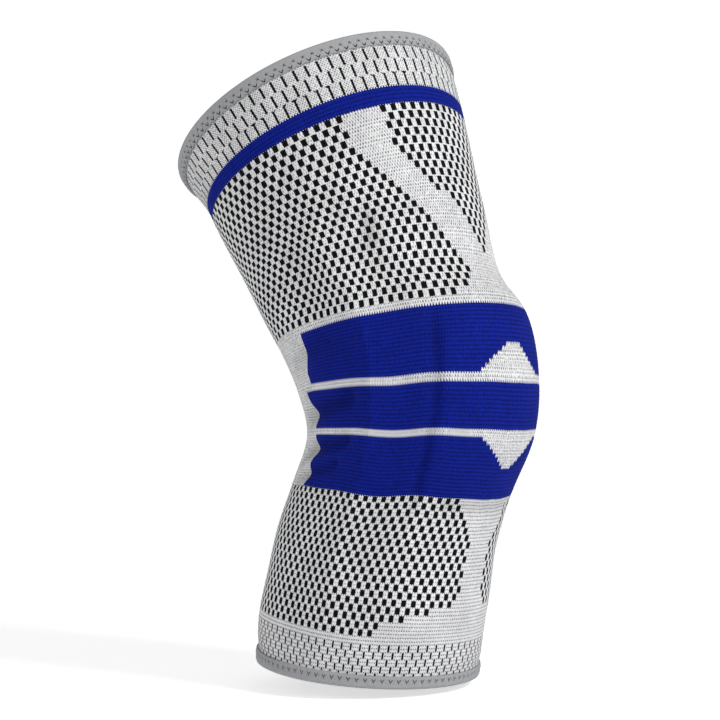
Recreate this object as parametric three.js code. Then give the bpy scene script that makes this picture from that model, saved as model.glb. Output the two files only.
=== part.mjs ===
import * as THREE from 'three';
import { mergeVertices } from 'three/addons/utils/BufferGeometryUtils.js';

// Knee sleeve in its worn shape, in mm, +Z up and +X to the front of the knee
// The knee's centre is the origin, and the leg bends in the XZ plane

// Sizes
const sleeveLength = 303; // along the side, edge to edge
const kneeDepth = 118; // outside, front to back
const kneeWidth = 125; // outside, side to side
const knitWall = 2.2;
const tapeThickness = 1;
const tapeWidth = 7;
const seamGap = 0.3; // between the knit and the tape
const seamSqueeze = 0.7; // how far the knit is pressed in under the tape

// Facets
const facetsAround = 76;
const facetsAlong = 44;
const insideEvery = 2; // the inner wall takes every second facet

// Sections from the thigh edge down
// at, up: shares of sleeveLength; forward, depth: of kneeDepth; width: of kneeWidth; lean: degrees
const sectionColumns = ['at', 'up', 'forward', 'lean', 'depth', 'width'];
const sections = [
  [0, 0.543, -0.56, 28, 1.297, 1.208],
  [0.09, 0.465, -0.445, 26.5, 1.195, 1.12],
  [0.112, 0.444, -0.424, 25.5, 1.186, 1.096],
  [0.251, 0.317, -0.284, 22, 1.068, 1.048],
  [0.356, 0.221, -0.178, 15, 0.992, 1.048],
  [0.416, 0.173, -0.085, 11.5, 1.034, 1.048],
  [0.512, 0.079, -0.004, 3.5, 1, 1],
  [0.587, 0.007, 0.008, -0.5, 0.941, 0.952],
  [0.69, -0.087, -0.093, -4.5, 0.915, 0.904],
  [0.769, -0.163, -0.169, -6, 0.932, 0.896],
  [0.851, -0.243, -0.216, -6.5, 0.958, 0.904],
  [0.921, -0.31, -0.254, -6.5, 0.966, 0.92],
  [1, -0.386, -0.271, -6, 0.924, 0.96],
];

// The flat panel over the stays, on each side
// at: share of sleeveLength; back, front: degrees from the leg's front
// rise: share of stayRise; dent: share of stayGroove
const stayRise = 2.8; // of the back edge
const stayHollow = 1; // of the panel between its edges
const stayGroove = 1.9; // along the front edge
const stayBackFade = 12;
const stayFrontFade = 9;
const stayGrooveHalf = 3;
const stayColumns = ['at', 'back', 'front', 'rise', 'dent'];
const stayLine = [
  [0.21, 68, 48, 0, 0],
  [0.25, 73, 43, 0.5, 0],
  [0.29, 76, 41, 0.6, 0],
  [0.36, 70, 37, 0.65, 0],
  [0.42, 72, 41, 0.8, 0.4],
  [0.46, 73, 43, 0.9, 1],
  [0.6, 79, 50, 1, 1],
  [0.69, 77, 47, 0.9, 0.8],
  [0.78, 77, 51, 0.8, 0],
  [0.85, 78, 52, 0.6, 0],
  [0.95, 78, 52, 0, 0],
];

// The round end of the stays, on each side
const stayEndAt = 0.265; // share of sleeveLength
const stayEndTurn = 61; // degrees from the leg's front
const stayEndRise = 1.4;
const stayEndHalf = 6;

// Creases, on each side
// startAt, endAt: shares of sleeveLength; startTurn, endTurn: degrees from the leg's front
// deep: share of creaseDepth; half: share of kneeDepth
const creaseDepth = 3.6;
const creaseColumns = ['startAt', 'startTurn', 'endAt', 'endTurn', 'deep', 'half'];
const creases = [
  [0.462, 122, 0.436, 92, 0.45, 0.045],
  [0.566, 130, 0.53, 88, 0.9, 0.04],
  [0.632, 130, 0.6, 92, 0.9, 0.036],
  [0.676, 124, 0.645, 96, 0.7, 0.032],
  [0.704, 30, 0.706, 0, 0.4, 0.03],
  [0.27, 53, 0.3, 53, 0.5, 0.04],
];

const nodes = {
  knit_sleeve: '#d6d6d9',
  top_binding: '#8d8e90',
  bottom_binding: '#8d8e90',
};

function named(columns, row) {
  return Object.fromEntries(columns.map((column, index) => [column, row[index]]));
}

const sectionRows = sections.map((row) => named(sectionColumns, row));
const stayRows = stayLine.map((row) => named(stayColumns, row));
const creaseRows = creases.map((row) => named(creaseColumns, row));
const perDegree = degrees(1) * kneeDepth / 2; // length round the knee

// Slope of a column at a row, from the rows on both sides of it
function slopeAt(rows, column, index) {
  const before = rows[Math.max(index - 1, 0)];
  const here = rows[index];
  const after = rows[Math.min(index + 1, rows.length - 1)];
  const gapBefore = here.at - before.at;
  const gapAfter = after.at - here.at;
  const slopeBefore = gapBefore > 0 ? (here[column] - before[column]) / gapBefore : 0;
  const slopeAfter = gapAfter > 0 ? (after[column] - here[column]) / gapAfter : 0;
  return (gapAfter * slopeBefore + gapBefore * slopeAfter) / (gapBefore + gapAfter);
}

// Smooth value of a column at a share of the length
// The first and last rows take the slope of their only neighbour
function smooth(rows, column, at) {
  let index = rows.findIndex((row) => row.at > at) - 1;
  if (index < 0) {
    index = at < rows[0].at ? 0 : rows.length - 2;
  }
  const low = rows[index];
  const high = rows[index + 1];
  const gap = high.at - low.at;
  const rise = (high[column] - low[column]) / gap;
  const first = index === 0 ? rise : slopeAt(rows, column, index);
  const last = index === rows.length - 2 ? rise : slopeAt(rows, column, index + 1);
  const t = (at - low.at) / gap;
  const blend = t * t * (3 - 2 * t);
  const fromFirst = t * (1 - t) * (1 - t) * gap * first;
  const fromLast = t * t * (1 - t) * gap * last;
  return low[column] + blend * (high[column] - low[column]) + fromFirst - fromLast;
}

// Straight steps between the rows, held at both ends
function stepped(rows, column, at) {
  const next = rows.findIndex((row) => row.at > at);
  if (next === 0) {
    return rows[0][column];
  }
  if (next < 0) {
    return rows[rows.length - 1][column];
  }
  const low = rows[next - 1];
  const high = rows[next];
  return low[column] + (high[column] - low[column]) * (at - low.at) / (high.at - low.at);
}

function degrees(value) {
  return THREE.MathUtils.degToRad(value);
}

// Degrees from the leg's front, 0 to 180 on either side
function turnFromFront(angle) {
  return Math.abs(THREE.MathUtils.euclideanModulo(angle + 180, 360) - 180);
}

// Height of the panel over the stays, and of their round end
function stayRelief(at, turn) {
  const back = stepped(stayRows, 'back', at);
  const front = stepped(stayRows, 'front', at);
  const rise = stepped(stayRows, 'rise', at);
  const dent = stepped(stayRows, 'dent', at);
  const across = (turn - front) / (back - front);
  const edgeFade = turn > back ? stayBackFade : stayFrontFade;
  const edge = stayRise * Math.exp(-Math.abs(turn - back) * perDegree / edgeFade);
  const hollow = across > 0 && across < 1 ? 4 * stayHollow * across * (1 - across) : 0;
  const groove = stayGroove * Math.exp(-(((turn - front) * perDegree / stayGrooveHalf) ** 2));
  const fromEnd = Math.hypot((at - stayEndAt) * sleeveLength, (turn - stayEndTurn) * perDegree);
  const end = stayEndRise * Math.exp(-((fromEnd / stayEndHalf) ** 2));
  return rise * (edge - hollow) - dent * groove + end;
}

// Depth of the creases, each one fading over its own half-width from its line
function creaseRelief(at, turn) {
  let deepest = 0;
  for (const row of creaseRows) {
    const startAlong = row.startAt * sleeveLength;
    const startRound = row.startTurn * perDegree;
    const lineAlong = row.endAt * sleeveLength - startAlong;
    const lineRound = row.endTurn * perDegree - startRound;
    const along = at * sleeveLength - startAlong;
    const round = turn * perDegree - startRound;
    const square = lineAlong * lineAlong + lineRound * lineRound;
    const raw = (along * lineAlong + round * lineRound) / square;
    const share = THREE.MathUtils.clamp(raw, 0, 1);
    const away = Math.hypot(along - share * lineAlong, round - share * lineRound);
    const depth = row.deep * creaseDepth * Math.exp(-((away / (row.half * kneeDepth)) ** 2));
    deepest = Math.max(deepest, depth);
  }
  return deepest;
}

// Point of the outside of the worn shape, moved out by an offset
// along is in mm from the thigh edge, angle in degrees from +X towards +Y
function surfacePoint(along, angle, offset) {
  const at = along / sleeveLength;
  const held = THREE.MathUtils.clamp(at, 0, 1);
  const turn = turnFromFront(angle);
  const raised = offset + stayRelief(held, turn) - creaseRelief(held, turn);
  const halfDepth = smooth(sectionRows, 'depth', at) * kneeDepth / 2 + raised;
  const halfWidth = smooth(sectionRows, 'width', at) * kneeWidth / 2 + raised;
  const lean = degrees(smooth(sectionRows, 'lean', at));
  const forward = halfDepth * Math.cos(degrees(angle));
  return new THREE.Vector3(
    smooth(sectionRows, 'forward', at) * kneeDepth + forward * Math.cos(lean),
    halfWidth * Math.sin(degrees(angle)),
    smooth(sectionRows, 'up', at) * sleeveLength + forward * Math.sin(lean),
  );
}

// How far the knit is pressed in under the tapes, with a short slope beside them
function seamPress(along) {
  const fromEdge = Math.min(along, sleeveLength - along);
  const past = THREE.MathUtils.clamp((fromEdge - tapeWidth) / tapeWidth, 0, 1);
  return seamSqueeze * (1 - past * past * (3 - 2 * past));
}

function angleOf(index, count) {
  return 360 * index / count;
}

function addRing(points, along, offset, count) {
  for (let index = 0; index < count; index += 1) {
    points.push(surfacePoint(along, angleOf(index, count), offset));
  }
}

// Two rings of the same count, joined by quads
function addBand(faces, upper, lower, count, outward) {
  for (let index = 0; index < count; index += 1) {
    const next = (index + 1) % count;
    const quad = [upper + index, lower + index, lower + next, upper + next];
    const turned = outward ? quad : quad.reverse();
    faces.push(turned[0], turned[1], turned[2], turned[0], turned[2], turned[3]);
  }
}

// A ring joined to one with fewer points, each of which takes insideEvery edges
function addRim(faces, outer, inner, count, upward) {
  const innerCount = count / insideEvery;
  for (let index = 0; index < innerCount; index += 1) {
    const nextInner = inner + (index + 1) % innerCount;
    const firstOuter = index * insideEvery;
    for (let step = 0; step < insideEvery; step += 1) {
      const from = outer + firstOuter + step;
      const to = outer + (firstOuter + step + 1) % count;
      const triangle = [inner + index, from, to];
      faces.push(...(upward ? triangle : triangle.reverse()));
    }
    const lastOuter = outer + (firstOuter + insideEvery) % count;
    const closing = [inner + index, lastOuter, nextInner];
    faces.push(...(upward ? closing : closing.reverse()));
  }
}

function bodyFrom(points, faces) {
  const geometry = new THREE.BufferGeometry();
  geometry.setAttribute('position', new THREE.Float32BufferAttribute(
    points.flatMap((point) => point.toArray()), 3,
  ));
  geometry.setIndex(faces);
  const merged = mergeVertices(geometry, 1e-3);
  merged.computeVertexNormals();
  return merged;
}

// The knitted tube, its edges clear of the folded tapes
function knitTube() {
  const edge = tapeThickness + seamGap;
  const span = sleeveLength - 2 * edge;
  const points = [];
  const faces = [];
  const outerStarts = [];
  for (let row = 0; row <= facetsAlong; row += 1) {
    const along = edge + span * row / facetsAlong;
    outerStarts.push(points.length);
    addRing(points, along, -seamPress(along), facetsAround);
  }
  const innerStarts = [];
  const innerCount = facetsAround / insideEvery;
  for (let row = 0; row <= facetsAlong; row += insideEvery) {
    const along = edge + span * row / facetsAlong;
    innerStarts.push(points.length);
    addRing(points, along, -knitWall, innerCount);
  }
  for (let row = 0; row < outerStarts.length - 1; row += 1) {
    addBand(faces, outerStarts[row], outerStarts[row + 1], facetsAround, true);
  }
  for (let row = 0; row < innerStarts.length - 1; row += 1) {
    addBand(faces, innerStarts[row], innerStarts[row + 1], innerCount, false);
  }
  addRim(faces, outerStarts[0], innerStarts[0], facetsAround, true);
  addRim(faces, outerStarts.at(-1), innerStarts.at(-1), facetsAround, false);
  return bodyFrom(points, faces);
}

// A tape folded over an edge of the tube, as a ring with a U-shaped section
// fromEdge turns a distance from that edge into one from the thigh edge
function foldedTape(fromEdge, downward) {
  const outside = -seamSqueeze + seamGap + tapeThickness;
  const outsideFace = outside - tapeThickness;
  const insideFace = -knitWall - seamGap;
  const inside = insideFace - tapeThickness;
  const profile = [
    [outside, tapeWidth],
    [outside, tapeThickness / 2],
    [outsideFace, 0],
    [insideFace, 0],
    [inside, tapeThickness / 2],
    [inside, tapeWidth],
    [insideFace, tapeWidth],
    [insideFace, tapeThickness],
    [outsideFace, tapeThickness],
    [outsideFace, tapeWidth],
  ];
  const points = [];
  const faces = [];
  for (const [offset, distance] of profile) {
    addRing(points, fromEdge(distance), offset, facetsAround);
  }
  for (let row = 0; row < profile.length; row += 1) {
    const next = (row + 1) % profile.length;
    addBand(faces, row * facetsAround, next * facetsAround, facetsAround, !downward);
  }
  return bodyFrom(points, faces);
}

function piece(name, geometry) {
  const material = new THREE.MeshStandardMaterial({ color: nodes[name], roughness: 0.85 });
  const mesh = new THREE.Mesh(geometry, material);
  mesh.name = name;
  return mesh;
}

const group = new THREE.Group();
group.add(piece('knit_sleeve', knitTube()));
group.add(piece('top_binding', foldedTape((distance) => distance, true)));
group.add(piece('bottom_binding', foldedTape((distance) => sleeveLength - distance, false)));

export default group;
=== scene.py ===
import math

import bpy
import numpy as np
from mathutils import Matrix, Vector


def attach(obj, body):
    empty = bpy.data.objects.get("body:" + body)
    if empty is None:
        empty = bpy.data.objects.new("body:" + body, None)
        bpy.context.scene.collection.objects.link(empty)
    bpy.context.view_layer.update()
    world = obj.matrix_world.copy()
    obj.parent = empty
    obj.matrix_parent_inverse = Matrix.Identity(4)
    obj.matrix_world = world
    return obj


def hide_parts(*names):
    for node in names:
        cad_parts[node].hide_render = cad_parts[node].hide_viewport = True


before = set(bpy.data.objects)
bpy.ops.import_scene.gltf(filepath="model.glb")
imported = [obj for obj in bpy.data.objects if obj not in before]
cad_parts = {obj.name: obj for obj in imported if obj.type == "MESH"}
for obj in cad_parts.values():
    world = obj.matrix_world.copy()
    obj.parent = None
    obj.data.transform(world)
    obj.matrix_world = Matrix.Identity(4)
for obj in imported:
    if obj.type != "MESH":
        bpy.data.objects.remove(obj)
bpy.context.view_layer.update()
bpy.ops.object.select_all(action="DESELECT")
print("frame loaded")

# The worn form, the same table as in the CAD, in metres
# at, up: shares of the length; forward, depth: of the knee's depth; lean: degrees; width: of the knee's width
form = {
    "length": 0.303,
    "kneeDepth": 0.118,
    "kneeWidth": 0.125,
    "wall": 0.0022,
    "tapeWidth": 0.007,
    "seamSqueeze": 0.0007,
    "sections": [
        (0, 0.543, -0.56, 28, 1.297, 1.208),
        (0.09, 0.465, -0.445, 26.5, 1.195, 1.12),
        (0.112, 0.444, -0.424, 25.5, 1.186, 1.096),
        (0.251, 0.317, -0.284, 22, 1.068, 1.048),
        (0.356, 0.221, -0.178, 15, 0.992, 1.048),
        (0.416, 0.173, -0.085, 11.5, 1.034, 1.048),
        (0.512, 0.079, -0.004, 3.5, 1, 1),
        (0.587, 0.007, 0.008, -0.5, 0.941, 0.952),
        (0.69, -0.087, -0.093, -4.5, 0.915, 0.904),
        (0.769, -0.163, -0.169, -6, 0.932, 0.896),
        (0.851, -0.243, -0.216, -6.5, 0.958, 0.904),
        (0.921, -0.31, -0.254, -6.5, 0.966, 0.92),
        (1, -0.386, -0.271, -6, 0.924, 0.96),
    ],
}

# The flat panel over the stays, as in the CAD but with a slightly deeper groove
# line: share of the length, back and front edge in degrees, shares of the rise and of the groove
stay = {
    "rise": 0.0028,
    "hollow": 0.001,
    "groove": 0.0022,
    "backFade": 0.012,
    "frontFade": 0.009,
    "grooveHalf": 0.003,
    "line": [
        (0.21, 68, 48, 0, 0),
        (0.25, 73, 43, 0.5, 0),
        (0.29, 76, 41, 0.6, 0),
        (0.36, 70, 37, 0.65, 0),
        (0.42, 72, 41, 0.8, 0.4),
        (0.46, 73, 43, 0.9, 1),
        (0.6, 79, 50, 1, 1),
        (0.69, 77, 47, 0.9, 0.8),
        (0.78, 77, 51, 0.8, 0),
        (0.85, 78, 52, 0.6, 0),
        (0.95, 78, 52, 0, 0),
    ],
    # the round end
    "endAt": 0.265,
    "endTurn": 61,
    "endRise": 0.0014,
    "endHalf": 0.006,
}

# Creases behind and before the knee
# lines: start share and degrees, end share and degrees, depth share, half-width share
crease = {
    "depth": 0.0036,
    "full": 0.0036,
    "lines": [
        (0.462, 122, 0.436, 92, 0.45, 0.045),
        (0.566, 130, 0.53, 88, 0.9, 0.04),
        (0.632, 130, 0.6, 92, 0.9, 0.036),
        (0.676, 124, 0.645, 96, 0.7, 0.032),
        (0.704, 30, 0.706, 0, 0.4, 0.03),
        (0.27, 53, 0.3, 53, 0.5, 0.04),
    ],
}

sectionRows = np.array(form["sections"], float)
stayRows = np.array(stay["line"], float)
perDegree = math.radians(1) * form["kneeDepth"] / 2  # length round the knee


def slopesOf(column):
    at, value = sectionRows[:, 0], sectionRows[:, column]
    gap = np.diff(at)
    rise = np.diff(value) / gap
    slope = np.empty(len(at))
    slope[0], slope[-1] = rise[0], rise[-1]
    slope[1:-1] = (gap[1:] * rise[:-1] + gap[:-1] * rise[1:]) / (gap[:-1] + gap[1:])
    return slope


def smooth(column, at):
    rows = sectionRows[:, 0]
    index = np.clip(np.searchsorted(rows, at, side="right") - 1, 0, len(rows) - 2)
    slope = slopesOf(column)
    low, high = sectionRows[index, column], sectionRows[index + 1, column]
    gap = rows[index + 1] - rows[index]
    t = (at - rows[index]) / gap
    blend = t * t * (3 - 2 * t)
    return (
        low
        + blend * (high - low)
        + t * (1 - t) ** 2 * gap * slope[index]
        - t * t * (1 - t) * gap * slope[index + 1]
    )


def stayRelief(at, turn):
    back, front, rise, dent = (np.interp(at, stayRows[:, 0], stayRows[:, column]) for column in range(1, 5))
    across = (turn - front) / (back - front)
    fade = np.where(turn > back, stay["backFade"], stay["frontFade"])
    edge = stay["rise"] * np.exp(-np.abs(turn - back) * perDegree / fade)
    hollow = np.where((across > 0) & (across < 1), 4 * stay["hollow"] * across * (1 - across), 0)
    groove = stay["groove"] * np.exp(-(((turn - front) * perDegree / stay["grooveHalf"]) ** 2))
    fromEnd = np.hypot((at - stay["endAt"]) * form["length"], (turn - stay["endTurn"]) * perDegree)
    end = stay["endRise"] * np.exp(-((fromEnd / stay["endHalf"]) ** 2))
    return rise * (edge - hollow) - dent * groove + end


def creaseRelief(at, turn):
    deepest = np.zeros_like(at)
    for startAt, startTurn, endAt, endTurn, deep, half in crease["lines"]:
        startAlong, startRound = startAt * form["length"], startTurn * perDegree
        lineAlong = endAt * form["length"] - startAlong
        lineRound = endTurn * perDegree - startRound
        along = at * form["length"] - startAlong
        around = turn * perDegree - startRound
        share = np.clip((along * lineAlong + around * lineRound) / (lineAlong**2 + lineRound**2), 0, 1)
        away = np.hypot(along - share * lineAlong, around - share * lineRound)
        depth = deep * crease["depth"] * np.exp(-((away / (half * form["kneeDepth"])) ** 2))
        deepest = np.maximum(deepest, depth)
    return deepest


def surfacePoints(along, angle, offset):
    along, angle, offset = np.broadcast_arrays(along, angle, offset)
    at = along / form["length"]
    held = np.clip(at, 0, 1)
    turn = np.abs((angle + 180) % 360 - 180)
    raised = offset + stayRelief(held, turn) - creaseRelief(held, turn)
    halfDepth = smooth(4, at) * form["kneeDepth"] / 2 + raised
    halfWidth = smooth(5, at) * form["kneeWidth"] / 2 + raised
    lean = np.radians(smooth(3, at))
    forward = halfDepth * np.cos(np.radians(angle))
    return np.stack(
        [
            smooth(2, at) * form["kneeDepth"] + forward * np.cos(lean),
            halfWidth * np.sin(np.radians(angle)),
            smooth(1, at) * form["length"] + forward * np.sin(lean),
        ],
        -1,
    )


# How deep in a fold a place lies, 0 to 1, for the painted shade in the folds
def foldShadeOf(along, angle):
    at = np.clip(along / form["length"], 0, 1)
    turn = np.abs((angle + 180) % 360 - 180)
    return np.clip((creaseRelief(at, turn) - stayRelief(at, turn)) / crease["full"], 0, 1)


# The knit, in wales round and courses along
knit = {
    "wales": 304,
    "perWale": 2,
    "perCourse": 3,
    "insideRows": 14,
    "insideCourse": 1.75,
    # heights in mm
    "plainRib": 0.05,
    "calfRib": 0.2,
    "blueRib": 0.12,
    "puff": 0.26,
    "sink": 0.16,
    # where each part of the tube starts, in mm from the thigh edge
    "cuffDashFrom": 7,
    "stripeFrom": 27,
    "thighFrom": 34,
    "kneeFrom": 122.5,
    "calfFrom": 208.4,
    "calfPlainFrom": 276,
    "hemFrom": 279.6,
    "lowEdgeFrom": 298.4,
    "cuffDashRows": 3,
    "hemDashRows": 5,
    "hemDashHeight": 3.76,
    # the bands round the knee: kind, end in mm, courses
    "kneeBands": [
        ("plain", 126.5, 2),
        ("blueTop", 152.3, 16),
        ("white", 156.4, 2),
        ("blue", 176.1, 11),
        ("white", 179.8, 2),
        ("blueLow", 208.4, 16),
    ],
    # middles of the rows of blocks, in mm
    "thighRows": [
        35.7, 39.5, 43.3, 47.4, 51.4, 55.5, 59.5, 63.3, 67, 70.7, 74.1, 77.6,
        80.6, 83.7, 87.1, 90.5, 94, 97.7, 101.4, 105, 108.7, 112, 116, 120.5,
    ],
    "calfRows": [
        210, 213.1, 216.6, 220.2, 223.7, 227.1, 230.6, 234.1, 237.4, 241.1,
        244.6, 248.5, 251.9, 255.8, 259.3, 263.2, 267, 270.8, 274.2,
    ],
    # edges of the checks and of the blue, in columns of blocks from the front
    "sideEdge": [23, 24, 23, 24, 23, 22, 21, 20, 19, 18, 17, 16, 15, 14, 13, 12, 11, 10, 9, 8, 7, 8, 9, 11],
    "frontEdge": [15, 14, 15, 14, 15, 14, 13, 12, 11, 10, 9, 6, 5, 4, 3, 2, 1, 0],
    "calfEdge": [10, 9, 8, 7, 6, 5, 4, 5, 4, 5, 4, 5, 4, 5, 6, 11, 16, 21, 22],
    "blueBack": {"blueTop": 46, "blue": 49, "blueLow": 49},
    # light notches at the front of the blue: course where each starts or ends, half width there in wales
    "notchTop": (9, 4),
    "notchLow": (8, 17),
    "notchStep": 2,
    # what lies under the tapes stops short of their folds
    "foldClear": 0.0013,
    "sagAt": [0, 125, 150, 180, 205, 230, 300],
    "sag": [0, 0.1, 0.35, 0.5, 0.7, 0.2, 0],
    # waves of the sag: waves round, shift in degrees, strength
    "waves": [(6.2, 20, 1), (11, 80, 0.5)],
    # the hem hangs lower on each side
    "hemAt": [262, 279, 292, 303],
    "hemSag": [0, 1.4, 0.7, 0],
    "hemTurn": 62,
    "hemHalf": 32,
    # warp of the columns by half-column, and its strength and the front line's drift by mm along
    "warpAt": [0, 10, 18, 26, 34, 42, 50, 58, 76],
    "warp": [0, 3, 4.5, 3, 1, -3, -1.5, 2, 0],
    "strengthAt": [0, 50, 98, 126, 150, 190, 220, 303],
    "strength": [0, 0.1, 1, 1, 0.7, 0.5, 0.6, 0.6],
    "driftAt": [0, 36, 55, 74, 87, 98, 112, 126, 147, 187, 220, 252, 303],
    "drift": [2, 3.2, 5, 7.8, 10, 11.2, 9, 3, -4, 0, 1.7, -1.2, 0],
    # the rings that the tube is knitted in, and the flat length round each in metres
    "rounds": {
        "knit_cuff": 0.46,
        "knit_thigh": 0.41,
        "knit_knee": 0.38,
        "knit_calf": 0.345,
        "knit_hem": 0.355,
    },
}


def edgesOf(centres, start, end):
    centres = np.array(centres, float)
    return [start, *((centres[1:] + centres[:-1]) / 2), end]


def even(start, end, count):
    return list(np.linspace(start, end, count + 1))


def dashBand(start, height, row, count):
    return list(start + height * (row + np.linspace(0, 1, count + 1)))


def bandsOf():
    bands = [("plain", even(0, knit["cuffDashFrom"], 4))]
    dashHeight = (knit["stripeFrom"] - knit["cuffDashFrom"]) / knit["cuffDashRows"]
    for row in range(knit["cuffDashRows"]):
        bands.append(("dash", dashBand(knit["cuffDashFrom"], dashHeight, row, 4)))
    bands.append(("stripe", even(knit["stripeFrom"], knit["thighFrom"], 4)))
    bands.append(("thigh", doubled(edgesOf(knit["thighRows"], knit["thighFrom"], knit["kneeFrom"]))))
    start = knit["kneeFrom"]
    for kind, end, count in knit["kneeBands"]:
        bands.append((kind, even(start, end, count)))
        start = end
    bands.append(("calf", doubled(edgesOf(knit["calfRows"], knit["calfFrom"], knit["calfPlainFrom"]))))
    bands.append(("plain", even(knit["calfPlainFrom"], knit["hemFrom"], 2)))
    for row in range(knit["hemDashRows"]):
        bands.append(("hem", dashBand(knit["hemFrom"], knit["hemDashHeight"], row, 2)))
    bands.append(("plain", even(knit["lowEdgeFrom"], form["length"] * 1000, 3)))
    return bands


def doubled(edges):
    out = [edges[0]]
    for low, high in zip(edges[:-1], edges[1:]):
        out += [(low + high) / 2, high]
    return out


def coursesOf(bands):
    courses = []
    for band, (kind, edges) in enumerate(bands):
        for index in range(len(edges) - 1):
            courses.append((edges[index], edges[index + 1], kind, band, index))
    return courses


courses = coursesOf(bandsOf())
thighBand = next(course[3] for course in courses if course[2] == "thigh")
calfBand = next(course[3] for course in courses if course[2] == "calf")


# How far down a course hangs at a turn, in mm: the edges of the bands run in soft waves, most below the knee
def sagOf(mm, turn):
    near = np.interp(mm, knit["sagAt"], knit["sag"])
    wave = 0
    for count, shift, strength in knit["waves"]:
        wave = wave + strength * np.sin(np.radians(turn * count + shift))
    hem = np.interp(mm, knit["hemAt"], knit["hemSag"])
    return near * wave + hem * np.exp(-(((turn - knit["hemTurn"]) / knit["hemHalf"]) ** 2))


def angleOf(wale, along):
    half = np.abs(wale) / 2
    warp = np.interp(half, knit["warpAt"], knit["warp"])
    strength = np.interp(along * 1000, knit["strengthAt"], knit["strength"])
    drift = np.interp(along * 1000, knit["driftAt"], knit["drift"])
    turn = half * 720 / knit["wales"] + warp * strength
    fade = 1 - (turn / 180) ** 4
    return np.sign(wale) * turn + drift * fade


def blockKind(kind, course, wale):
    row = course // 2
    column = np.floor((wale + 1) / 2).astype(int)
    near = np.abs(column)
    black = np.zeros(len(column), bool)
    blue = np.zeros(len(column), bool)
    puff = np.zeros(len(column), bool)
    if kind == "thigh":
        side = near >= knit["sideEdge"][row]
        front = near <= knit["frontEdge"][row] if row < len(knit["frontEdge"]) else side
        puff = side | front
        black = puff & ((column + row) % 2 == 1)
    elif kind == "calf":
        puff = near >= knit["calfEdge"][row]
        black = puff & ((column + row) % 2 == 0)
    elif kind == "stripe":
        blue[:] = True
    elif kind in ("blueTop", "blue", "blueLow"):
        blue = near <= knit["blueBack"][kind]
        first, narrow = knit["notchTop"]
        last, wide = knit["notchLow"]
        if kind == "blueTop" and course >= first:
            blue &= np.abs(wale) > narrow + knit["notchStep"] * (course - first)
        if kind == "blueLow" and course < last:
            blue &= np.abs(wale) > wide - knit["notchStep"] * course
    return black, blue, puff


# Height of the stitches in metres: ribs, puffed light blocks, sunk black ones, grooves at the dashes
def reliefOf(kind, course, part, wale, band):
    rib = 0.5 - 0.5 * math.cos(2 * math.pi * part)
    bead = 0.5 + 0.5 * np.cos(2 * math.pi * (wale + 0.5))
    black, blue, puff = blockKind(kind, course, wale + 1e-6)
    height = knit["calfRib" if band >= calfBand else "plainRib"] * rib * (0.7 + 0.3 * bead)
    height = np.where(blue, knit["blueRib"] * rib * (0.65 + 0.35 * bead), height)
    if kind in ("thigh", "calf"):
        across = np.sin(math.pi * (((wale + 1) / 2) % 1))
        along = max(math.sin(math.pi * (((course + part) / 2) % 1)), 0)
        light = knit["puff"] * across**0.5 * along**0.45 * (0.85 + 0.15 * bead)
        dark = -knit["sink"] * across**0.6 * along**1.3
        height = np.where(puff, np.where(black, dark, light), height)
    if kind in ("dash", "hem"):
        rows = 4 if kind == "dash" else 2
        along = max(math.sin(math.pi * (course + part) / rows), 0)
        away = np.abs(((wale + 1) / 4 + band / 2) % 1 - 0.5) * 4  # wales from the nearest dash
        pillow = np.clip(away / 1.1, 0, 1) ** 0.7 * (0.8 + 0.2 * bead)
        height = knit["puff"] * 0.8 * along**0.4 * pillow - knit["sink"] * along * np.clip(1 - away, 0, 1)
    return height / 1000


def sectionRowsOf(first, last):
    rows = []
    per = knit["perCourse"]
    for course in reversed(courses[first:last]):
        for step in range(per, 0, -1):
            rows.append((course, step / per))
    rows.append((courses[first], 0.0))
    return rows


def addGrid(name, across, up):
    bpy.ops.mesh.primitive_grid_add(x_subdivisions=across, y_subdivisions=up, size=2)
    obj = bpy.context.object
    obj.name = name
    obj.data.name = name
    count = len(obj.data.vertices)
    flat = np.empty(count * 3)
    obj.data.vertices.foreach_get("co", flat)
    flat = flat.reshape(-1, 3)
    column = np.rint((flat[:, 0] + 1) / 2 * across).astype(int)
    row = np.rint((flat[:, 1] + 1) / 2 * up).astype(int)
    return obj, column, row


def knitRing(name, first, last):
    columns = knit["wales"] * knit["perWale"]
    outer = sectionRowsOf(first, last)
    top, bottom = courses[first][0], courses[last - 1][1]
    inner = list(np.linspace(top, bottom, knit["insideRows"] + 1))
    total = len(outer) + len(inner)  # the last row comes back to the first
    obj, column, row = addGrid(name, columns, total)
    wale = np.arange(columns + 1) / knit["perWale"] - knit["wales"] / 2 - 1
    clear = knit["foldClear"]
    points = np.empty((total + 1, columns + 1, 3))
    foldShades = np.zeros((total + 1, columns + 1))
    for index, (course, part) in enumerate(outer):
        along = (course[0] + part * (course[1] - course[0])) / 1000
        angle = angleOf(wrapped(wale), along)
        offset = reliefOf(course[2], course[4], part, wrapped(wale), course[3]) - seamPress(along)
        along = min(max(along, clear), form["length"] - clear)
        sag = sagOf(along * 1000, np.abs(angle)) / 1000
        points[index] = surfacePoints(along + sag, angle, offset)
        foldShades[index] = foldShadeOf(along + sag, angle)
    for index, mm in enumerate(inner):
        along = min(max(mm / 1000, clear), form["length"] - clear)
        angle = angleOf(wrapped(wale), along)
        sag = sagOf(along * 1000, np.abs(angle)) / 1000
        points[len(outer) + index] = surfacePoints(along + sag, angle, np.full(columns + 1, -form["wall"]))
    points[total] = points[0]
    points[:, columns] = points[:, 0]
    mesh = obj.data
    mesh.vertices.foreach_set("co", points[row, column].ravel())
    # the depth in the folds, kept for the painted shade that darkens the knit there
    foldShade = mesh.attributes.new("foldShade", "FLOAT", "POINT")
    foldShade.data.foreach_set("value", foldShades[row, column].astype(np.float32))
    paintCourses(mesh, column, row, outer, inner, wale)
    mergeSeam(obj)
    return obj


def wrapped(wale):
    half = knit["wales"] / 2
    return (wale + half) % knit["wales"] - half


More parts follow.
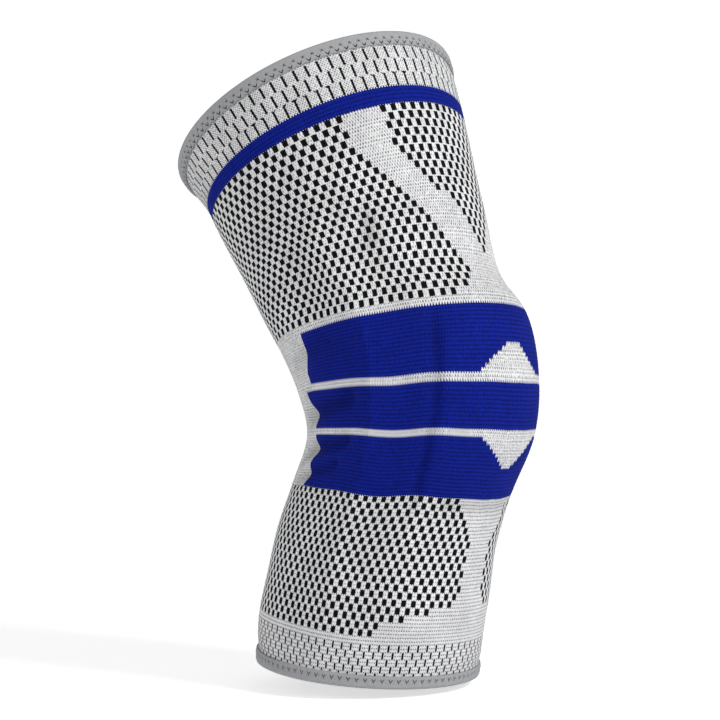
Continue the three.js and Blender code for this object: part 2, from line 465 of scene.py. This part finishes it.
def seamPress(along):
    fromEdge = min(along, form["length"] - along)
    past = min(max((fromEdge - form["tapeWidth"]) / form["tapeWidth"], 0), 1)
    return form["seamSqueeze"] * (1 - past * past * (3 - 2 * past))


knitMasks = ("blackBlock", "blueYarn", "puffBlock", "dashRow", "whiteStripe", "blueAbove", "blueBelow")


def paintCourses(mesh, column, row, outer, inner, wale):
    loops = len(mesh.loops)
    vertexOf = np.empty(loops, int)
    mesh.loops.foreach_get("vertex_index", vertexOf)
    loopRow, loopColumn = row[vertexOf].reshape(-1, 4), column[vertexOf].reshape(-1, 4)
    faceRow, faceColumn = loopRow.min(1), loopColumn.min(1)
    faces = len(faceRow)
    insideRow = len(outer) - 1 + np.arange(len(inner) + 2)
    v = np.interp(loopRow, insideRow, [inner[0], *inner, inner[-1]]) / knit["insideCourse"]
    masks = {name: np.zeros(faces, np.float32) for name in knitMasks}
    middle = wrapped(wale[:-1] + 0.5 / knit["perWale"])
    for index in range(len(outer) - 1):
        course, part = outer[index]
        picked = faceRow == index
        kind, band, number = course[2], course[3], course[4]
        low = part - 1 / knit["perCourse"]
        v[picked] = 100 * band + number + np.where(loopRow[picked] == index, part, low)
        black, blue, puff = blockKind(kind, number, middle)
        at = faceColumn[picked]
        masks["blackBlock"][picked] = black[at]
        masks["blueYarn"][picked] = blue[at]
        masks["puffBlock"][picked] = puff[at]
        masks["dashRow"][picked] = {"dash": 1, "hem": 2}.get(kind, 0)
        masks["whiteStripe"][picked] = kind == "white"
        if not blue.all():
            place = courses.index(course)
            for name, near in (("blueAbove", place - 1), ("blueBelow", place + 1)):
                if 0 <= near < len(courses):
                    beside = courses[near]
                    masks[name][picked] = blockKind(beside[2], beside[4], middle)[1][at] & ~blue[at]
    uv = np.empty((faces, 4, 2))
    uv[:, :, 0] = loopColumn / knit["perWale"]
    uv[:, :, 1] = v
    layer = mesh.uv_layers.active
    layer.name = "knit"
    layer.uv.foreach_set("vector", uv.astype(np.float32).ravel())
    for name, values in masks.items():
        mesh.attributes.new(name, "FLOAT", "FACE").data.foreach_set("value", values)


def mergeSeam(obj):
    bpy.ops.object.mode_set(mode="EDIT")
    bpy.ops.mesh.select_all(action="SELECT")
    bpy.ops.mesh.remove_doubles(threshold=1e-6)
    bpy.ops.mesh.select_all(action="DESELECT")
    bpy.ops.object.mode_set(mode="OBJECT")
    bpy.ops.object.shade_smooth()
    obj.select_set(False)


def firstCourse(mm):
    return next(index for index, course in enumerate(courses) if course[0] > mm - 0.01)


def node(tree, kind, **values):
    new = tree.nodes.new(kind)
    for key, value in values.items():
        setattr(new, key, value)
    return new


def sums(tree, operation, a, b=None, c=None):
    new = node(tree, "ShaderNodeMath", operation=operation)
    for index, value in enumerate((a, b, c)):
        if value is None:
            continue
        if isinstance(value, (int, float)):
            new.inputs[index].default_value = value
        else:
            tree.links.new(value, new.inputs[index])
    return new.outputs[0]


def blend(tree, share, a, b):
    new = node(tree, "ShaderNodeMix", data_type="RGBA")
    for socket, value in ((new.inputs[0], share), (new.inputs[6], a), (new.inputs[7], b)):
        if isinstance(value, (int, float)):
            socket.default_value = value
        elif isinstance(value, tuple):
            socket.default_value = (*value, 1)
        else:
            tree.links.new(value, socket)
    return new.outputs[2]


def ramp(tree, value, low, high, outLow=0.0, outHigh=1.0):
    new = node(tree, "ShaderNodeMapRange", interpolation_type="SMOOTHSTEP")
    tree.links.new(value, new.inputs[0])
    for index, number in enumerate((low, high, outLow, outHigh)):
        new.inputs[index + 1].default_value = number
    return new.outputs[0]


# How far a value is from the middle of its repeat, 0 to 0.5
def fromMiddle(tree, value):
    return sums(tree, "ABSOLUTE", sums(tree, "SUBTRACT", sums(tree, "FRACT", value), 0.5))


def linear(*srgb):
    return tuple(((c / 255 + 0.055) / 1.055) ** 2.4 if c > 10 else c / 255 / 12.92 for c in srgb)


yarn = {
    "light": linear(239, 239, 240),
    # the dark of the light knit: its stitch holes, and painted shade in the valleys between its rows
    "lightHolesAndShade": linear(40, 40, 44),
    "black": linear(20, 20, 23),
    # the black yarn in painted shade, for the valleys between the rows
    "blackShaded": linear(8, 8, 10),
    "blue": linear(15, 38, 154),
    # the blue yarn in painted shade, for the valleys between the rows
    "blueShaded": linear(7, 14, 90),
    "roughness": 0.85,
}


# Small unevenness of any yarn: a colour a little lighter and darker, and its height
def fuzzGroup():
    group = bpy.data.node_groups.new("yarnFuzz", "ShaderNodeTree")
    for name, kind, way in (
        ("Colour", "NodeSocketColor", "INPUT"),
        ("Scale", "NodeSocketFloat", "INPUT"),
        ("Amount", "NodeSocketFloat", "INPUT"),
        ("Colour", "NodeSocketColor", "OUTPUT"),
        ("Height", "NodeSocketFloat", "OUTPUT"),
    ):
        group.interface.new_socket(name=name, in_out=way, socket_type=kind)
    start = node(group, "NodeGroupInput")
    end = node(group, "NodeGroupOutput")
    place = node(group, "ShaderNodeTexCoord").outputs["Object"]
    noise = node(group, "ShaderNodeTexNoise")
    group.links.new(place, noise.inputs["Vector"])
    group.links.new(start.outputs["Scale"], noise.inputs["Scale"])
    noise.inputs["Detail"].default_value = 3
    level = noise.outputs["Fac"]
    swing = sums(group, "MULTIPLY", sums(group, "SUBTRACT", level, 0.5), start.outputs["Amount"])
    tint = node(group, "ShaderNodeHueSaturation")
    group.links.new(start.outputs["Colour"], tint.inputs["Color"])
    group.links.new(sums(group, "ADD", swing, 1.0), tint.inputs["Value"])
    group.links.new(tint.outputs[0], end.inputs["Colour"])
    group.links.new(level, end.inputs["Height"])
    return group


def addFuzz(tree, group, colour, scale, amount):
    new = node(tree, "ShaderNodeGroup", node_tree=group)
    new.inputs["Scale"].default_value = scale
    new.inputs["Amount"].default_value = amount
    tree.links.new(colour, new.inputs["Colour"])
    return new.outputs["Colour"], new.outputs["Height"]


def attributeOf(tree, name):
    return node(tree, "ShaderNodeAttribute", attribute_type="GEOMETRY", attribute_name=name).outputs["Fac"]


# u counts wales and v counts courses, each band of courses from a hundred of its own
def knitMaterial(fuzz):
    material = bpy.data.materials.new("knit")
    material.use_nodes = True
    tree = material.node_tree
    shader = tree.nodes["Principled BSDF"]
    split = node(tree, "ShaderNodeSeparateXYZ")
    tree.links.new(node(tree, "ShaderNodeUVMap", uv_map="knit").outputs[0], split.inputs[0])
    u, v = split.outputs[0], split.outputs[1]
    waveU = sums(tree, "COSINE", sums(tree, "MULTIPLY", u, 2 * math.pi))
    waveV = sums(tree, "COSINE", sums(tree, "MULTIPLY", v, 2 * math.pi))
    rib = sums(tree, "MULTIPLY_ADD", waveV, -0.5, 0.5)
    bead = sums(tree, "MULTIPLY_ADD", waveU, -0.5, 0.5)
    valley = sums(tree, "POWER", sums(tree, "SUBTRACT", 1.0, rib), 2.0)
    # staggered stitch holes, wider apart on the thigh and the knee
    isCalf = sums(tree, "GREATER_THAN", v, 100.0 * calfBand - 1)
    isKnee = sums(tree, "SUBTRACT", sums(tree, "GREATER_THAN", v, 100.0 * thighBand - 1), isCalf)
    staggerTurn = sums(tree, "MULTIPLY_ADD", isKnee, -0.75 * math.pi, 2 * math.pi)
    stagger = sums(tree, "COSINE", sums(tree, "MULTIPLY", v, staggerTurn))
    dot = ramp(tree, sums(tree, "MULTIPLY", waveU, stagger), 0.1, 0.7)
    # every half stitch has a tone of its own
    cell = node(tree, "ShaderNodeCombineXYZ")
    tree.links.new(sums(tree, "FLOOR", sums(tree, "MULTIPLY", u, 2.0)), cell.inputs[0])
    tree.links.new(sums(tree, "FLOOR", sums(tree, "MULTIPLY", v, 2.0)), cell.inputs[1])
    chance = node(tree, "ShaderNodeTexWhiteNoise", noise_dimensions="2D")
    tree.links.new(cell.outputs[0], chance.inputs["Vector"])
    tone = chance.outputs["Value"]

    dashRow = attributeOf(tree, "dashRow")
    isHem = sums(tree, "GREATER_THAN", dashRow, 1.5)
    isDash = sums(tree, "GREATER_THAN", dashRow, 0.5)
    isCuff = sums(tree, "SUBTRACT", isDash, isHem)
    dotShare = sums(tree, "MULTIPLY_ADD", isCuff, 0.05, 0.66)
    isWhite = attributeOf(tree, "whiteStripe")
    valley = sums(tree, "MULTIPLY", valley, sums(tree, "MULTIPLY_ADD", isWhite, -0.85, 1.0))
    offRib = sums(tree, "MULTIPLY_ADD", sums(tree, "MULTIPLY", isCalf, rib), -0.9, 1.0)
    dot = sums(tree, "MULTIPLY", dot, offRib)
    dotTone = sums(tree, "MULTIPLY", dotShare, sums(tree, "MULTIPLY_ADD", tone, 1.5, 0.25))
    shade = sums(tree, "MULTIPLY", dot, dotTone)
    # from the calf down the rows stand apart, with stitch holes and a stronger painted shade only in the
    # valleys between them
    apart = sums(tree, "MULTIPLY_ADD", isCalf, sums(tree, "MULTIPLY_ADD", waveU, 1.2, 1.2), 1.0)
    valley = sums(tree, "MULTIPLY", valley, apart)
    # painted shade: the light knit darkens in the valleys between its rows
    shade = sums(tree, "ADD", shade, sums(tree, "MULTIPLY", valley, 0.13))
    shade = sums(tree, "ADD", shade, sums(tree, "MULTIPLY", tone, 0.1))
    # the white stripes have one row of dark stitch holes along their middle
    middle = fromMiddle(tree, sums(tree, "MULTIPLY", v, 0.5))
    hole = sums(tree, "MULTIPLY", ramp(tree, middle, 0.03, 0.1, 1.0, 0.0), ramp(tree, waveU, 0.0, 0.8))
    shade = sums(tree, "ADD", shade, sums(tree, "MULTIPLY", sums(tree, "MULTIPLY", hole, isWhite), 0.45))
    # the puffed blocks are drawn smooth
    smoothed = sums(tree, "MULTIPLY_ADD", attributeOf(tree, "puffBlock"), -0.4, 1.0)
    shade = sums(tree, "MULTIPLY", shade, smoothed)
    light = blend(tree, shade, yarn["light"], yarn["lightHolesAndShade"])

    # painted highlight and shade: the blue yarn is lighter on the crests of the rows and on the beads of the
    # stitches and darker in the valleys between rows, with a random tone for each half stitch
    lit = sums(tree, "MULTIPLY", rib, sums(tree, "MULTIPLY_ADD", bead, 0.8, 0.2))
    lit = sums(tree, "MULTIPLY_ADD", tone, 0.35, lit)
    blue = blend(tree, ramp(tree, lit, -0.3, 1.15), yarn["blueShaded"], yarn["blue"])

    # blue stitches reach into the light rows beside them as small teeth
    tooth = ramp(tree, waveU, -0.8, 0.8, 0.0, 0.42)
    part = sums(tree, "FRACT", v)
    above = ramp(tree, sums(tree, "SUBTRACT", part, tooth), -0.06, 0.06, 1.0, 0.0)
    fromBelow = sums(tree, "SUBTRACT", 1.0, part)
    below = ramp(tree, sums(tree, "SUBTRACT", fromBelow, tooth), -0.06, 0.06, 1.0, 0.0)
    above = sums(tree, "MULTIPLY", above, attributeOf(tree, "blueAbove"))
    below = sums(tree, "MULTIPLY", below, attributeOf(tree, "blueBelow"))
    isBlue = sums(tree, "MAXIMUM", attributeOf(tree, "blueYarn"), sums(tree, "MAXIMUM", above, below))

    # black blocks, with the light stitches above and below reaching in as two fingers
    across = fromMiddle(tree, sums(tree, "MULTIPLY", u, 0.5))
    reach = sums(tree, "MULTIPLY_ADD", waveU, 0.022, sums(tree, "MULTIPLY_ADD", tone, 0.03, 0.425))
    squareAcross = sums(tree, "POWER", sums(tree, "DIVIDE", across, 0.51), 12.0)
    squareAlong = sums(tree, "POWER", sums(tree, "DIVIDE", middle, reach), 9.0)
    block = ramp(tree, sums(tree, "ADD", squareAcross, squareAlong), 0.6, 1.4, 1.0, 0.0)
    block = sums(tree, "MULTIPLY", block, attributeOf(tree, "blackBlock"))

    # dashes of the cuff and the hem: a slit to every four wales, each row half a step on
    band = sums(tree, "FLOOR", sums(tree, "DIVIDE", v, 100.0))
    place = sums(tree, "ADD", sums(tree, "MULTIPLY", u, 0.25), sums(tree, "MULTIPLY", band, 0.5))
    dashAcross = fromMiddle(tree, place)
    bandV = sums(tree, "SUBTRACT", v, sums(tree, "MULTIPLY", band, 100.0))
    rows = sums(tree, "MULTIPLY_ADD", isHem, -2.0, 4.0)
    dashAlong = sums(tree, "ABSOLUTE", sums(tree, "SUBTRACT", sums(tree, "DIVIDE", bandV, rows), 0.5))
    half = sums(tree, "MULTIPLY_ADD", isHem, 0.005, 0.1)
    thin = ramp(tree, sums(tree, "SUBTRACT", dashAcross, half), -0.015, 0.015, 1.0, 0.0)
    dash = sums(tree, "MULTIPLY", thin, ramp(tree, dashAlong, 0.43, 0.47, 1.0, 0.0))
    dash = sums(tree, "MULTIPLY", dash, isDash)
    # ragged ends over the last dashes of the cuff
    lastDashes = sums(tree, "COMPARE", band, 3.0, 0.1)
    ragged = sums(tree, "MULTIPLY", lastDashes, sums(tree, "LESS_THAN", bandV, 0.55))
    ragged = sums(tree, "MULTIPLY", ragged, sums(tree, "LESS_THAN", dashAcross, 0.24))
    dash = sums(tree, "MAXIMUM", dash, sums(tree, "MULTIPLY", ragged, sums(tree, "GREATER_THAN", tone, 0.58)))

    # painted highlight and shade on the black yarn: lighter on the crests and beads, darker in the valleys
    black = blend(tree, ramp(tree, lit, 0.0, 0.8), yarn["blackShaded"], yarn["black"])
    colour = blend(tree, isBlue, light, blue)
    colour = blend(tree, sums(tree, "MAXIMUM", block, dash), colour, black)
    # painted shade: the knit's colour is darkened towards black in the folds and creases
    colour = blend(tree, sums(tree, "MULTIPLY", attributeOf(tree, "foldShade"), 0.4), colour, (0.0, 0.0, 0.0))
    colour = addFuzz(tree, fuzz, colour, 70.0, 0.35)[0]
    colour, rough = addFuzz(tree, fuzz, colour, 900.0, 0.45)
    tree.links.new(colour, shader.inputs["Base Color"])
    shader.inputs["Roughness"].default_value = yarn["roughness"]
    shader.inputs["Specular IOR Level"].default_value = 0.08
    # the two legs of each stitch
    leg = sums(tree, "COSINE", sums(tree, "MULTIPLY", sums(tree, "ADD", v, tooth), 2 * math.pi))
    height = sums(tree, "ADD", sums(tree, "MULTIPLY", leg, -0.5), sums(tree, "MULTIPLY", rough, 0.7))
    bump = node(tree, "ShaderNodeBump")
    bump.inputs["Strength"].default_value = 0.6
    bump.inputs["Distance"].default_value = 0.0002
    tree.links.new(height, bump.inputs["Height"])
    tree.links.new(bump.outputs[0], shader.inputs["Normal"])
    return material


def finishPiece(obj, material, nodes):
    obj.data.materials.clear()
    obj.data.materials.append(material)
    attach(obj, "root")
    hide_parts(*nodes)


fuzz = fuzzGroup()
knitFinish = knitMaterial(fuzz)
ringFrom = [knit[part] for part in ("thighFrom", "kneeFrom", "calfFrom", "hemFrom")]
starts = [0, *map(firstCourse, ringFrom), len(courses)]
for index, (name, around) in enumerate(knit["rounds"].items()):
    ring = knitRing(name, starts[index], starts[index + 1])
    finishPiece(ring, knitFinish, ["knit_sleeve"])
    print(name, "knitted", len(ring.data.polygons))

# The folded tapes, each sewn on by a zigzag of thread
tape = {
    "perStitch": 8,
    "thickness": 0.001,
    "gap": 0.0003,
    "tooth": 0.0005,
    "pucker": 0.00018,
    "colour": linear(180, 181, 183),
    "gapColour": linear(98, 99, 102),
    # the colour of the painted shadow marks
    "hole": linear(30, 30, 32),
    "roughness": 0.8,
    "threadRadius": 0.00016,
    "threadSides": 6,
    # stitches round, and the far and near row of needle holes from the edge, in shares of the width
    "top": (98, 0.42, 0.86),
    "bottom": (88, 0.5, 0.8),
    # rows of dark marks painted as the threads' shadows and as shade in the needle holes: share of the width,
    # shift in stitches, half width in stitches, slope of the arms
    "topShadowMarks": ((0.48, 0.5, 0.19, 0.5), (0.9, 0, 0.24, -0.7)),
    "bottomShadowMarks": ((0.5, 0.5, 0.22, 1),),
    # how the folded tape is rounded at its edges, over its face and at the fold
    "corner": 0.0003,
    "crown": 0.0001,
    "bend": 0.0012,
    # flat sizes
    "rounds": {"top": 0.465, "bottom": 0.36},
    "flatWidth": 0.018,
}


def tapeProfile():
    outside = -form["seamSqueeze"] + tape["gap"] + tape["thickness"]
    outsideFace = outside - tape["thickness"]
    insideFace = -form["wall"] - tape["gap"]
    inside = insideFace - tape["thickness"]
    width, thick = form["tapeWidth"], tape["thickness"]
    corner, crown, bend = tape["corner"], tape["crown"], tape["bend"]
    return [
        (outsideFace, width), (outside - corner, width), (outside - crown, width - 0.0002),
        (outside, width * 0.86), (outside + crown, width * 0.7), (outside + crown, width * 0.56),
        (outside, width * 0.42), (outside + crown, width * 0.3), (outside, bend),
        (outside - corner, 0.0004), (outsideFace, 0.0001), (insideFace, 0.0001), (inside + corner, 0.0004),
        (inside, bend), (inside, width * 0.5), (inside, width - corner), (inside + 0.0002, width),
        (insideFace, width), (insideFace, thick), (outsideFace, thick),
    ]


# u counts stitches round, v the share of the width from the fold
def foldedTape(name, low, stitches, rows):
    profile = tapeProfile()
    if low:
        profile = profile[::-1]
    count, columns = len(profile), stitches * tape["perStitch"]
    obj, column, row = addGrid(name, columns, count)
    angle = 360 * np.arange(columns + 1) / columns
    phase = np.arange(columns + 1) / tape["perStitch"]
    points = np.empty((count + 1, columns + 1, 3))
    for index in range(count + 1):
        offset, distance = profile[index % count]
        share = distance / form["tapeWidth"]
        outward = offset > -form["wall"] / 2
        if outward and share > 0.93:  # teeth of the knit between the stitches
            distance = distance - tape["tooth"] * (0.5 + 0.5 * np.cos(2 * math.pi * phase))
        pinch = np.zeros(columns + 1)
        if outward and share > 0.3:
            pinch = tape["pucker"] * (
                math.exp(-(((share - rows[0]) / 0.12) ** 2)) * np.maximum(np.cos(2 * math.pi * phase), 0)
                + math.exp(-(((share - rows[1]) / 0.12) ** 2)) * np.maximum(-np.cos(2 * math.pi * phase), 0)
            )
        distance = np.broadcast_to(distance, angle.shape)
        along = form["length"] - distance if low else distance
        points[index] = surfacePoints(along, angle, offset - pinch)
    obj.data.vertices.foreach_set("co", points[row, column].ravel())
    shares = np.array([profile[index % count][1] / form["tapeWidth"] for index in range(count + 1)])
    vertexOf = np.empty(len(obj.data.loops), int)
    obj.data.loops.foreach_get("vertex_index", vertexOf)
    uv = np.stack([phase[column[vertexOf]], shares[row[vertexOf]]], -1)
    layer = obj.data.uv_layers.active
    layer.name = "tape"
    layer.uv.foreach_set("vector", uv.astype(np.float32).ravel())
    mergeSeam(obj)
    return obj


# One short thread, swollen in its middle, as long as 2 along z
def oneStitch():
    bpy.ops.mesh.primitive_cylinder_add(vertices=tape["threadSides"], radius=1, depth=2, end_fill_type="NGON")
    thread = bpy.context.object
    bpy.ops.object.mode_set(mode="EDIT")
    for cut in (-0.6, 0, 0.6):
        bpy.ops.mesh.select_all(action="SELECT")
        bpy.ops.mesh.bisect(plane_co=(0, 0, cut), plane_no=(0, 0, 1))
    bpy.ops.object.mode_set(mode="OBJECT")
    for vertex in thread.data.vertices:
        thin = 1 - 0.45 * abs(vertex.co.z) ** 4
        vertex.co.x *= thin
        vertex.co.y *= thin
    bpy.ops.object.shade_smooth()
    thread.select_set(False)
    return thread


# The stitches run in a zigzag from the far row of holes to the near one and back, laid just over the tape
def stitchThreads(name, low, stitches, rows):
    first = oneStitch()
    shape = np.array([vertex.co for vertex in first.data.vertices])
    share = 0.5 + 0.48 * shape[:, 2]
    surface = -form["seamSqueeze"] + tape["gap"] + tape["thickness"]
    radius = tape["threadRadius"]
    lift = surface + radius * (1.3 * np.sin(math.pi * share) - 0.5 + shape[:, 0])
    threads = []
    for index in range(2 * stitches):
        start, end = rows if index % 2 == 0 else rows[::-1]
        thread = first.copy()
        thread.data = first.data.copy()
        bpy.context.collection.objects.link(thread)
        sideways = shape[:, 1] * radius / (form["kneeDepth"] / 2)
        angle = 180 / stitches * (index + share) + np.degrees(sideways)
        distance = form["tapeWidth"] * (start + (end - start) * share)
        along = form["length"] - distance if low else distance
        thread.data.vertices.foreach_set("co", surfacePoints(along, angle, lift).ravel())
        threads.append(thread)
    bpy.data.objects.remove(first)
    for thread in threads:
        thread.select_set(True)
    obj = threads[0]
    bpy.context.view_layer.objects.active = obj
    bpy.ops.object.join()
    obj.name = name
    obj.data.name = name
    bpy.ops.object.mode_set(mode="EDIT")
    bpy.ops.mesh.select_all(action="SELECT")
    bpy.ops.mesh.normals_make_consistent(inside=False)
    bpy.ops.object.mode_set(mode="OBJECT")
    obj.select_set(False)
    return obj


def tapeMaterial(fuzz, name, shadowMarks):
    material = bpy.data.materials.new(name)
    material.use_nodes = True
    tree = material.node_tree
    shader = tree.nodes["Principled BSDF"]
    split = node(tree, "ShaderNodeSeparateXYZ")
    tree.links.new(node(tree, "ShaderNodeUVMap", uv_map="tape").outputs[0], split.inputs[0])
    u, v = split.outputs[0], split.outputs[1]
    # fine woven ribs across the tape, and the shorter floats between them
    ribs = sums(tree, "COSINE", sums(tree, "MULTIPLY", u, 2 * math.pi * 7))
    floats = sums(tree, "COSINE", sums(tree, "MULTIPLY", v, 2 * math.pi * 7))
    weave = sums(tree, "MULTIPLY_ADD", sums(tree, "MULTIPLY", ribs, floats), 0.5, 0.5)
    colour = blend(tree, sums(tree, "MULTIPLY", weave, 0.45), tape["colour"], tape["gapColour"])
    # painted shadow: dark hooked marks where the thread goes in, for the thread's shadow and the shade in its
    # needle hole
    for at, shift, wide, slope in shadowMarks:
        swing = fromMiddle(tree, sums(tree, "ADD", u, shift))
        across = sums(tree, "POWER", sums(tree, "DIVIDE", swing, wide), 6.0)
        arm = sums(tree, "SUBTRACT", sums(tree, "SUBTRACT", v, at), sums(tree, "MULTIPLY", swing, slope))
        along = sums(tree, "POWER", sums(tree, "DIVIDE", arm, 0.075), 2.0)
        hole = ramp(tree, sums(tree, "ADD", across, along), 0.6, 1.6, 1.0, 0.0)
        colour = blend(tree, hole, colour, tape["hole"])
    colour, rough = addFuzz(tree, fuzz, colour, 1400.0, 0.5)
    tree.links.new(colour, shader.inputs["Base Color"])
    shader.inputs["Roughness"].default_value = tape["roughness"]
    shader.inputs["Specular IOR Level"].default_value = 0.2
    bump = node(tree, "ShaderNodeBump")
    bump.inputs["Strength"].default_value = 0.5
    bump.inputs["Distance"].default_value = 0.0002
    tree.links.new(sums(tree, "ADD", sums(tree, "MULTIPLY", weave, -0.6), rough), bump.inputs["Height"])
    tree.links.new(bump.outputs[0], shader.inputs["Normal"])
    return material


def threadMaterial(fuzz):
    material = bpy.data.materials.new("thread")
    material.use_nodes = True
    tree = material.node_tree
    shader = tree.nodes["Principled BSDF"]
    base = node(tree, "ShaderNodeRGB")
    base.outputs[0].default_value = (*tape["colour"], 1)
    colour, rough = addFuzz(tree, fuzz, base.outputs[0], 1800.0, 0.6)
    tree.links.new(colour, shader.inputs["Base Color"])
    shader.inputs["Roughness"].default_value = 0.7
    return material


threadFinish = threadMaterial(fuzz)
for side, low in (("top", False), ("bottom", True)):
    stitches, *rows = tape[side]
    band = foldedTape("tape_" + side, low, stitches, rows)
    finish = tapeMaterial(fuzz, "tape_" + side, tape[side + "ShadowMarks"])
    finishPiece(band, finish, [side + "_binding"])
    threads = stitchThreads("stitches_" + side, low, stitches, rows)
    threads.data.materials.append(threadFinish)
    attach(threads, "root")
    print("tape", side, "sewn on")

# Stage, light and camera
studio = {
    "floorDrop": -0.126,
    "floorColour": linear(246, 246, 247),
    "floorGlow": 0.15,
    "seenGlow": 0.45,
    "flatTo": 1.7,
    "wallDepth": 1.6,
    "wallHeight": 2.6,
    "world": 0.2,
    # place, width and power of each lamp
    "lamps": {
        "key": ((1.3, -0.08, 0.97), 0.4, 14),
        "fill": ((-0.3, -1.4, 0.5), 1.0, 1.5),
        "rim": ((-1.1, -0.6, -0.02), 0.8, 1.8),
    },
    "cameraPlace": (0.4930, -0.7107, 0),
    "cameraTurn": 34.75,
    "lens": 86.5,
    "shift": (-0.0833, 0.106),
}


def softLight(name, place, size, power):
    bpy.ops.object.light_add(type="AREA", location=place)
    lamp = bpy.context.object
    lamp.name = name
    lamp.data.shape = "DISK"
    lamp.data.size = size
    lamp.data.energy = power
    lamp.rotation_euler = (Vector((0, 0, 0)) - Vector(place)).to_track_quat("-Z", "Y").to_euler()
    lamp.select_set(False)


# a floor that rises all round into a pale wall
bpy.ops.mesh.primitive_grid_add(x_subdivisions=48, y_subdivisions=48, size=8)
floor = bpy.context.object
floor.name = "floor"
for vertex in floor.data.vertices:
    bend = min(max((vertex.co.length - studio["flatTo"]) / studio["wallDepth"], 0), 1)
    vertex.co.z = studio["floorDrop"] + studio["wallHeight"] * bend * bend * (3 - 2 * bend)
bpy.ops.object.shade_smooth()
floorFinish = bpy.data.materials.new("floor")
floorFinish.use_nodes = True
floorShader = floorFinish.node_tree.nodes["Principled BSDF"]
floorShader.inputs["Base Color"].default_value = (*studio["floorColour"], 1)
floorShader.inputs["Roughness"].default_value = 0.9
floorShader.inputs["Specular IOR Level"].default_value = 0
floorShader.inputs["Emission Color"].default_value = (1, 1, 1, 1)
floorSeen = node(floorFinish.node_tree, "ShaderNodeLightPath").outputs["Is Camera Ray"]
glow = sums(floorFinish.node_tree, "MULTIPLY_ADD", floorSeen, studio["seenGlow"], studio["floorGlow"])
floorFinish.node_tree.links.new(glow, floorShader.inputs["Emission Strength"])
floor.data.materials.append(floorFinish)
floor.select_set(False)

for name, (place, size, power) in studio["lamps"].items():
    softLight(name, place, size, power)

world = bpy.data.worlds.new("studio")
world.use_nodes = True
backdrop = world.node_tree.nodes["Background"]
backdrop.inputs["Color"].default_value = (1, 1, 1, 1)
seen = node(world.node_tree, "ShaderNodeLightPath").outputs["Is Camera Ray"]
strength = sums(world.node_tree, "MULTIPLY_ADD", seen, 1 - studio["world"], studio["world"])
world.node_tree.links.new(strength, backdrop.inputs["Strength"])
bpy.context.scene.world = world
bpy.context.scene.view_settings.view_transform = "Standard"

turned = (math.pi / 2, 0, math.radians(studio["cameraTurn"]))
bpy.ops.object.camera_add(location=studio["cameraPlace"], rotation=turned)
camera = bpy.context.object
camera.name = "camera"
camera.data.sensor_width = 36
camera.data.lens = studio["lens"]
camera.data.shift_x, camera.data.shift_y = studio["shift"]
bpy.context.scene.camera = camera
camera.select_set(False)
print("stage set")
